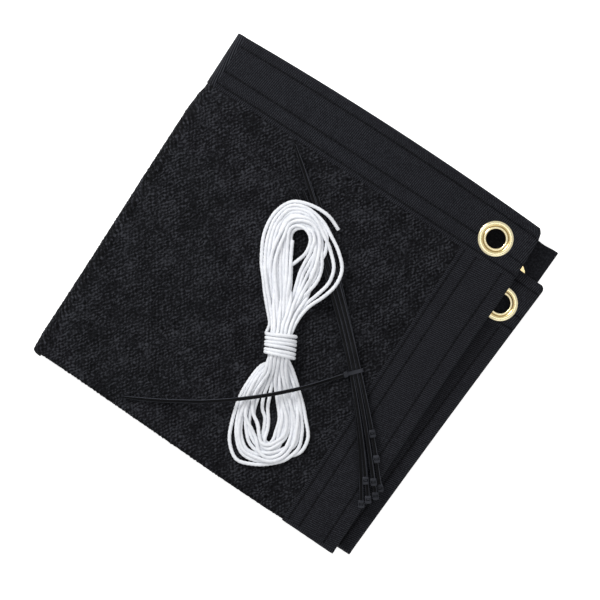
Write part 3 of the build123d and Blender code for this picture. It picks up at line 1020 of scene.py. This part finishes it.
def eyelet(number):
    """Pressed brass eyelet: domed flange, groove, rolled lip, hole and the curl behind."""
    leaf = LEAVES[number]
    profile = np.array(EYE_PROFILE)
    angle = 2 * pi * np.arange(EYE_SIDES) / EYE_SIDES
    turn = leaf["face"]
    base = leaf_level(number) if turn > 0 else leaf_level(number) + HEM + (EYE_DROP if number == 4 else 0.0)
    points = [(leaf["eyelet"][0] + r * cos(a), leaf["eyelet"][1] + r * sin(a), base + turn * z)
              for r, z in profile for a in angle]
    faces = []
    for ring in range(len(profile)):
        a, b = ring * EYE_SIDES, (ring + 1) % len(profile) * EYE_SIDES
        faces += [(a + n, b + n, b + (n + 1) % EYE_SIDES, a + (n + 1) % EYE_SIDES) for n in range(EYE_SIDES)]
    piece = new_mesh(f"eyelet_{number}", points, [f[::turn] for f in faces])
    radius = profile[:, 0]
    # painted shade: the brass is painted darker in the groove, down the hole and a little on the flange's
    # inner slope
    painted_light = 1 - 0.85 * np.exp(-((radius - GROOVE_R) / 0.4) ** 2)
    painted_light -= 0.7 * smooth_step((6.75 - radius) / 0.4)
    painted_light -= 0.25 * np.exp(-((radius - 9.2) / 0.7) ** 2)
    keep_lumps(piece, np.repeat(painted_light, EYE_SIDES))
    return finish_piece(piece, f"leaf_{number}_eyelet", "brass", half_of(number))


# --- cable ties ---
TIE_L = 197.0
TIE_W = 2.5
TIE_T = 1.0
LAYER_PITCH = 1.15
COLUMN_PITCH = 2.8
HEAD_L, HEAD_W, HEAD_H = 5.0, 4.0, 2.8
HEAD_BELOW = 1.1
HEAD_BITE = 0.4
BUNDLE_CLEAR = 0.45
RING_S = 59.0
RING_T = 28.1
RING_LOW = HEM_TOP + BUNDLE_CLEAR
TIE_LOW = RING_LOW + HEAD_BELOW
RING_HIGH = TIE_LOW + 2 * LAYER_PITCH + 2 * TIE_T + 0.15
TOOTH = 0.9
TAPER_L = 16.0
# layer from below, column at the ring, S and T of the head's middle, T of the tip
TIES = {
    1: (2, 1, 100.7, 28.8, 27.9),
    2: (1, 1, 117.4, 27.2, 30.0),
    3: (0, 1, 136.5, 24.8, 33.6),
    4: (2, 0, 131.2, 21.6, 25.6),
    5: (1, 0, 140.4, 20.6, 26.2),
    6: (2, -1, 129.0, 17.0, 20.6),
    7: (1, -1, 141.5, 15.4, 22.0),
    8: (0, -1, 143.4, 10.6, 23.5),
}


def from_bundle(points):
    """Points along and across the tie bundle, as plan points."""
    s, t, height = np.asarray(points, float).T
    c, d = cos(BUNDLE_TURN), sin(BUNDLE_TURN)
    return np.column_stack([s * c - t * d, s * d + t * c, height])


def arc_through(a, b, c, step):
    """Points a step apart on the circle through three plan points, from a to c."""
    a, b, c = (np.array(p, float) for p in (a, b, c))
    m = np.array([2 * (b - a), 2 * (c - a)])
    centre = np.linalg.solve(m, [b @ b - a @ a, c @ c - a @ a])
    radius = np.linalg.norm(a - centre)
    start, end = (atan2(*(p - centre)[::-1]) for p in (a, c))
    sweep = (end - start + pi) % (2 * pi) - pi
    count = int(abs(sweep) * radius / step) + 2
    angle = start + sweep * np.linspace(0, 1, count)
    return centre + radius * np.column_stack([np.cos(angle), np.sin(angle)])


STRAP_OUTLINE = (
    (-1, -0.45), (-0.82, -1), (0.82, -1), (1, -0.45), (1, 0.3), (0.92, 0.78), (0.76, 1),
    (0.6, 1), (0.56, 0.86), (-0.56, 0.86), (-0.6, 1), (-0.76, 1), (-0.92, 0.78), (-1, 0.3),
)
# which places of the outline dip between the teeth, and how deep
TOOTHED = (8, 9)
TOOTH_DEPTH = 0.14
# painted highlight: how pale each place of the outline is painted, palest on the strap's rounded top edges on
# the side where the light would catch them
STRAP_HIGHLIGHT = (0.1, 0.1, 0.1, 0.1, 0.3, 1.0, 0.9, 0.2, 0.1, 0.1, 0.2, 0.5, 0.5, 0.1)
# painted highlight: the heads are painted paler all over
HEAD_HIGHLIGHT = 0.62
# shapes with more points than this are straps
STRAP_LEAST = 1000
TIP_W = 0.58
TIP_ROUND = 1.2
UPRIGHT = (0.0, 0.0, 1.0)


def strap_rings(line):
    """Rings of a toothed strap swept along a line, narrowing towards the line's start."""
    way = units(np.gradient(line, axis=0))
    side = units(np.cross(UPRIGHT, way))
    top = np.cross(way, side)
    s = lengths_along(line)
    narrow = TIP_W + (1 - TIP_W) * smooth_step(s / TAPER_L)
    tip = np.sqrt(np.clip(s / TIP_ROUND, 0.08, 1))
    tooth = TOOTH_DEPTH * (np.abs((s / TOOTH) % 1 - 0.5) * 2) * (s > TAPER_L)
    half_w = (TIE_W / 2 * narrow * tip)[:, None]
    half_t = TIE_T / 2 * (0.75 + 0.25 * narrow)
    rings = []
    for n, (across, high) in enumerate(STRAP_OUTLINE):
        lift = half_t * high - (tooth if n in TOOTHED else 0)
        rings.append(line + side * half_w * across + top * lift[:, None])
    return np.stack(rings, axis=1)


def strap(line):
    """Points and faces of a strap along a line."""
    rings = strap_rings(line)
    return rings.reshape(-1, 3), rod_faces(*rings.shape[:2])


def loop_of(half_x, half_y, corner, count=6):
    """Rounded rectangle as points round it, from its corners' arcs."""
    points = []
    for quarter, (sx, sy) in enumerate(((1, 1), (-1, 1), (-1, -1), (1, -1))):
        for n in range(count):
            a = pi / 2 * (quarter + n / (count - 1))
            points.append((sx * (half_x - corner) + corner * cos(a),
                           sy * (half_y - corner) + corner * sin(a)))
    return np.array(points)


HEAD_CORNER = 0.8
# height, how far out the head's sides are there, and how far out its aperture's are
HEAD_LEVELS = ((0.0, -0.25, 0.0), (0.25, 0, 0.0), (HEAD_H - 0.5, 0, 0.0), (HEAD_H, -0.5, 0.3))
APERTURE = (0.65, 1.35, 0.12)
PAWL_HALF_W = 0.95
# side view of the pawl, along the head and up
PAWL = ((-0.62, 0.5), (0.05, 1.0), (0.25, 2.3), (-0.62, 2.2))
PAWL_FACES = ((3, 2, 1, 0), (4, 5, 6, 7), (0, 1, 5, 4), (1, 2, 6, 5), (2, 3, 7, 6), (3, 0, 4, 7))


def head_mesh():
    """Tie head about its own middle: rounded block with a funnel to its aperture and its pawl."""
    points = []
    for height, out, _ in HEAD_LEVELS:
        points += [(x, y, height) for x, y in loop_of(HEAD_L / 2 + out, HEAD_W / 2 + out, HEAD_CORNER)]
    sides = len(points) // len(HEAD_LEVELS)
    half_x, half_y, corner = APERTURE
    for height, _, inside in reversed(HEAD_LEVELS):
        points += [(x, y, height) for x, y in loop_of(half_x + inside, half_y + inside * 0.6, corner)]
    faces = tube_faces(2 * len(HEAD_LEVELS), sides, closed=True)
    faces += [tuple(len(points) + n for n in face) for face in PAWL_FACES]
    points += [(x, y, z) for y in (-PAWL_HALF_W, PAWL_HALF_W) for x, z in PAWL]
    return np.array(points), faces


def head(middle, way, up):
    """A tie head's points and faces, with its length along way and its top along up."""
    points, faces = head_mesh()
    way, up = np.array(way, float), np.array(up, float)
    side = np.cross(up, way)
    return np.array(middle) + points[:, :1] * way + points[:, 1:2] * side + points[:, 2:3] * up, faces


def finish_mesh(name, parts, node):
    """One piece of several closed shapes, in the ties' nylon."""
    points, faces, painted_highlight, base = [], [], [], 0
    for shape, shape_faces in parts:
        points.append(shape)
        # painted highlight: pale values on the straps' top edges and on the heads
        outline = np.tile(STRAP_HIGHLIGHT, len(shape) // len(STRAP_HIGHLIGHT) + 1)[:len(shape)]
        painted_highlight.append(outline if len(shape) > STRAP_LEAST else np.full(len(shape), HEAD_HIGHLIGHT))
        faces += [tuple(base + n for n in f) for f in shape_faces]
        base += len(shape)
    piece = new_mesh(name, np.concatenate(points), faces)
    turn_outwards(piece, 40)
    keep_lumps(piece, np.concatenate(painted_highlight))
    return finish_piece(piece, node, "cable_tie", "tie_bundle")


def cable_tie(number):
    """One tie of the bundle, its tip at the far end from its head."""
    layer, column, head_s, head_t, tip_t = TIES[number]
    tip = (head_s + HEAD_L / 2 - TIE_L, tip_t)
    at_ring = (RING_S, RING_T + column * COLUMN_PITCH)
    line = arc_through(tip, at_ring, (head_s - HEAD_L / 2, head_t), TOOTH / 2)
    low = TIE_LOW + layer * LAYER_PITCH
    middle = from_bundle(np.column_stack([line, np.full(len(line), low + TIE_T / 2)]))
    way = (middle[-1] - middle[-2]) / np.linalg.norm(middle[-1] - middle[-2])
    middle = np.vstack([middle, middle[-1] + way * HEAD_BITE])
    base = low - (HEAD_BELOW if layer == 0 else 0)
    centre = middle[-2] + way * (HEAD_L / 2 - HEAD_BITE)
    parts = [strap(middle), head((centre[0], centre[1], base), way, UPRIGHT)]
    return finish_mesh(f"tie_{number}", parts, f"cable_tie_{number}")


TAIL_HIGH = 18.9
# place across the bundle, and share of the tail's full height there
TAIL_HEIGHTS = ((-150, -88, -70, -4, 13, 40), (0, 0, 1, 1, 0, 0))
TAIL_BOW = (-2.6, -50.0)
TAIL_TIP = (35.7, -123.0)
RING_CORNER = 0.8
# cross-section of the ring, across its width and from its inside out
RING_OUTLINE = ((-1, -0.45), (-0.82, -1), (0.82, -1), (1, -0.45),
                (1, 0.45), (0.82, 1), (-0.82, 1), (-1, 0.45))
# room between the ring and the straps in it, both sides together
RING_ROOM = 0.3


def binding_tie():
    """The tie round the bundle: its ring, its upright head, and its tail over the hank."""
    half_w = (3 * COLUMN_PITCH + 2 * TIE_T + RING_ROOM) / 2
    half_h = (RING_HIGH - RING_LOW) / 2
    sections = []
    for across, out in RING_OUTLINE:
        grown = out * TIE_T / 2
        loop = loop_of(half_w - TIE_T / 2 + grown, half_h - TIE_T / 2 + grown, RING_CORNER + grown)
        sections.append(np.column_stack([np.full(len(loop), RING_S + across * TIE_W / 2),
                                         loop[:, 0] + RING_T, loop[:, 1] + (RING_LOW + RING_HIGH) / 2]))
    rings = np.stack(sections, axis=1)
    ring = (from_bundle(rings.reshape(-1, 3)), tube_faces(*rings.shape[:2], closed=True))
    near = RING_T - half_w
    rest = RING_LOW + TIE_T / 2
    path = arc_through(TAIL_TIP, (RING_S + TAIL_BOW[0], TAIL_BOW[1]), (RING_S, near + TIE_T), TOOTH / 2)
    rise = smooth_step(np.interp(path[:, 1], *TAIL_HEIGHTS))
    tail = strap(from_bundle(np.column_stack([path, rest + (TAIL_HIGH - rest) * rise])))
    centre = from_bundle([(RING_S, near + HEAD_BITE, RING_LOW + HEAD_L / 2)])[0]
    parts = [ring, tail, head(centre, UPRIGHT, from_bundle([(0, -1, 0)])[0])]
    return finish_mesh("tie_binding", parts, "binding_tie")


# --- materials ---
class Nodes:
    """A material's node tree, with short ways to add and join nodes."""

    def __init__(self, name, colour, roughness, specular=0.5, metallic=0.0):
        self.made = bpy.data.materials.new(name)
        self.made.use_nodes = True
        self.tree = self.made.node_tree
        self.shader = self.tree.nodes["Principled BSDF"]
        self.shader.inputs["Base Color"].default_value = (*colour, 1.0)
        self.shader.inputs["Roughness"].default_value = roughness
        self.shader.inputs["Specular IOR Level"].default_value = specular
        self.shader.inputs["Metallic"].default_value = metallic
        self.place = self.tree.nodes.new("ShaderNodeTexCoord").outputs["Object"]

    def add(self, kind, links, values=()):
        """A new node with some inputs linked and some set."""
        node = self.tree.nodes.new("ShaderNode" + kind)
        for name, source in links:
            self.tree.links.new(source, node.inputs[name])
        for name, value in values:
            node.inputs[name].default_value = value
        return node

    def noise(self, size_mm, detail=2.0):
        """Noise whose features are about size_mm."""
        values = [("Scale", 1 / (size_mm * MM)), ("Detail", detail)]
        return self.add("TexNoise", [("Vector", self.place)], values).outputs["Fac"]

    def lump(self):
        """The values that keep_lumps left on the mesh."""
        node = self.add("Attribute", [])
        node.attribute_name = "lump"
        return node.outputs["Fac"]

    def mixed(self, first, second, share):
        """A share of the second value in the first."""
        return self.add("Mix", [("A", first), ("B", second)], [("Factor", share)]).outputs["Result"]

    def ramp(self, value, stops, socket):
        """Drives a shader socket by a value through a colour ramp."""
        node = self.add("ValToRGB", [("Fac", value)])
        while len(node.color_ramp.elements) < len(stops):
            node.color_ramp.elements.new(0.5)
        for element, (at, colour) in zip(node.color_ramp.elements, stops):
            element.position = at
            element.color = (*colour, 1.0) if hasattr(colour, "__len__") else (colour, colour, colour, 1.0)
        self.tree.links.new(node.outputs["Color"], self.shader.inputs[socket])

    def bump(self, value, depth_mm):
        """Adds relief of that depth to the shader's normal."""
        node = self.add("Bump", [("Height", value)], [("Distance", depth_mm * MM), ("Strength", 1.0)])
        self.tree.links.new(node.outputs["Normal"], self.shader.inputs["Normal"])


def make_materials():
    """One material for each slot of the record."""
    cloth = Nodes("knit_black", (0.012, 0.0125, 0.015), 0.72, 0.05)
    # painted light and shade: the lump values paint the knit's lump tops paler and the gaps between them
    # darker, mixed with random tone from the noise
    shade = cloth.mixed(cloth.mixed(cloth.lump(), cloth.noise(1.1, 3.0), 0.5), cloth.noise(14.0, 4.0), 0.22)
    cloth.ramp(shade, ((0.34, (0.0015, 0.0016, 0.002)), (0.5, (0.0068, 0.007, 0.0086)),
                       (0.66, (0.034, 0.0355, 0.042))), "Base Color")
    cloth.ramp(cloth.noise(1.6, 2.0), ((0.35, 0.5), (0.7, 0.8)), "Roughness")
    cloth.bump(cloth.noise(0.7, 2.0), 0.25)
    webbing = Nodes("webbing_black", (0.014, 0.015, 0.019), 0.65, 0.05)
    # painted light and shade: the lump values paint the ribs' crests paler and their troughs and the sewn
    # rows darker; the noise is random tone
    weave = webbing.mixed(webbing.lump(), webbing.noise(0.9, 2.0), 0.4)
    webbing.ramp(weave, ((0.3, (0.0016, 0.0017, 0.0024)), (0.5, (0.0088, 0.0092, 0.0115)),
                         (0.7, (0.036, 0.0375, 0.045))), "Base Color")
    webbing.bump(webbing.noise(0.6, 1.0), 0.15)
    thread = Nodes("thread_black", (0.004, 0.0042, 0.005), 0.5, 0.1)
    thread.bump(thread.noise(0.25, 1.0), 0.05)
    plain = Nodes("washer_brass", (0.95, 0.78, 0.42), 0.24, 0.5, 1.0)
    plain.ramp(plain.noise(3.0, 3.0), ((0.3, 0.18), (0.75, 0.34)), "Roughness")
    brass = Nodes("eyelet_brass", (0.97, 0.88, 0.6), 0.24, 0.5, 1.0)
    # painted shade: the lump values darken the brass in the eyelet's groove, down its hole and on the
    # flange's inner slope
    tone = brass.mixed(brass.lump(), brass.noise(3.0, 3.0), 0.12)
    brass.ramp(tone, ((0.1, (0.14, 0.085, 0.022)), (0.45, (0.6, 0.42, 0.15)), (0.75, (0.93, 0.77, 0.42)),
                      (0.95, (1.0, 0.9, 0.6))), "Base Color")
    brass.ramp(brass.noise(1.5, 4.0), ((0.3, 0.16), (0.75, 0.3)), "Roughness")
    brass.bump(brass.noise(0.5, 3.0), 0.01)
    nylon = Nodes("nylon_black", (0.003, 0.0032, 0.004), 0.28, 0.07)
    # painted highlight: the lump values paint the ties' rounded top edges and their heads paler
    nylon.ramp(nylon.mixed(nylon.lump(), nylon.noise(9.0, 3.0), 0.35),
               ((0.32, (0.002, 0.0021, 0.0026)), (0.8, (0.05, 0.053, 0.064))), "Base Color")
    nylon.ramp(nylon.noise(6.0, 3.0), ((0.3, 0.2), (0.75, 0.36)), "Roughness")
    nylon.bump(nylon.noise(0.8, 2.0), 0.02)
    rope_white = Nodes("rope_white", (0.80, 0.81, 0.84), 0.6, 0.3)
    rope_white.ramp(rope_white.noise(3.0, 3.0), ((0.3, (0.74, 0.755, 0.795)), (0.65, (0.83, 0.845, 0.875))),
                    "Base Color")
    rope_white.bump(rope_white.noise(0.35, 2.0), 0.08)
    MATERIALS["washer"] = plain.made
    for slot, nodes in (("knitted_cloth", cloth), ("webbing", webbing), ("thread", thread), ("brass", brass),
                        ("cable_tie", nylon), ("rope", rope_white)):
        MATERIALS[slot] = nodes.made


# --- stage and light ---
FLOOR_HALF = 30.0
FLOOR_GLOW = 0.6


def make_stage():
    """A plain pale floor, wider than any view of it."""
    floor = bpy.data.meshes.new("floor")
    corners = [(x * FLOOR_HALF, y * FLOOR_HALF, 0) for x, y in ((-1, -1), (1, -1), (1, 1), (-1, 1))]
    floor.from_pydata(corners, [], [(0, 1, 2, 3)])
    pale = Nodes("floor_white", (0.92, 0.92, 0.92), 0.9, 0.0)
    pale.shader.inputs["Emission Color"].default_value = (1, 1, 1, 1)
    pale.shader.inputs["Emission Strength"].default_value = FLOOR_GLOW
    floor.materials.append(pale.made)
    linked("floor", floor)


# name, place, size and power
LAMPS = (
    ("key", (-0.7, 0.3, 0.6), 0.35, 6.0),
    ("top", (0.1, 0.1, 2.0), 0.5, 1.2),
    ("fill", (0.9, -0.7, 1.0), 1.0, 1.5),
)
SKY_STRENGTH = 0.66


def make_lights():
    """Even studio light, a little stronger from the left."""
    world = bpy.data.worlds.new("studio")
    bpy.context.scene.world = world
    world.use_nodes = True
    sky = world.node_tree.nodes["Background"]
    sky.inputs["Color"].default_value = (1.0, 1.0, 1.0, 1.0)
    sky.inputs["Strength"].default_value = SKY_STRENGTH
    for name, place, size, power in LAMPS:
        lamp = bpy.data.lights.new(name, "AREA")
        lamp.size = size
        lamp.energy = power
        holder = linked(name, lamp)
        holder.location = place
        holder.rotation_mode = "QUATERNION"
        holder.rotation_quaternion = Vector(place).to_track_quat("Z", "Y")
    bpy.context.scene.view_settings.view_transform = "Standard"


MATERIALS = {}


def build():
    """Camera and rope first, then the panel, the eyelets and the ties."""
    make_camera()
    make_materials()
    rope = make_rope()
    rope.data.materials.append(MATERIALS["rope"])
    sheets = []
    for number in LEAVES:
        cloth, size = leaf_cloth(number)
        hem_top, top_plan, top_in = top_hem(number)
        hem_side, side_plan, side_in = side_hem(number)
        thread = stitches(number, ((top_plan, top_in, TOP_ROWS), (side_plan, side_in, SIDE_ROWS)))
        sheets.append([cloth, size, [hem_top, hem_side, thread, eyelet(number)]])
    for upper in (True, False):
        sheets[0 if upper else 2][2].extend(front_turn(upper))
    knit_strip, webbing_strip = spine(outer=True)
    strip_h = LEAVES[1]["spine_y"] - TOP_HEM_W - FRONT_LEFT_Y
    sheets.append([knit_strip, (pi * SPINE_R * MM, strip_h * MM), [webbing_strip, *spine(outer=False)]])
    for number in TIES:
        cable_tie(number)
    binding_tie()
    for name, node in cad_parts.items():
        if name.endswith("washer"):
            for slot in node.material_slots:
                slot.material = MATERIALS["washer"]
    make_stage()
    make_lights()


build()
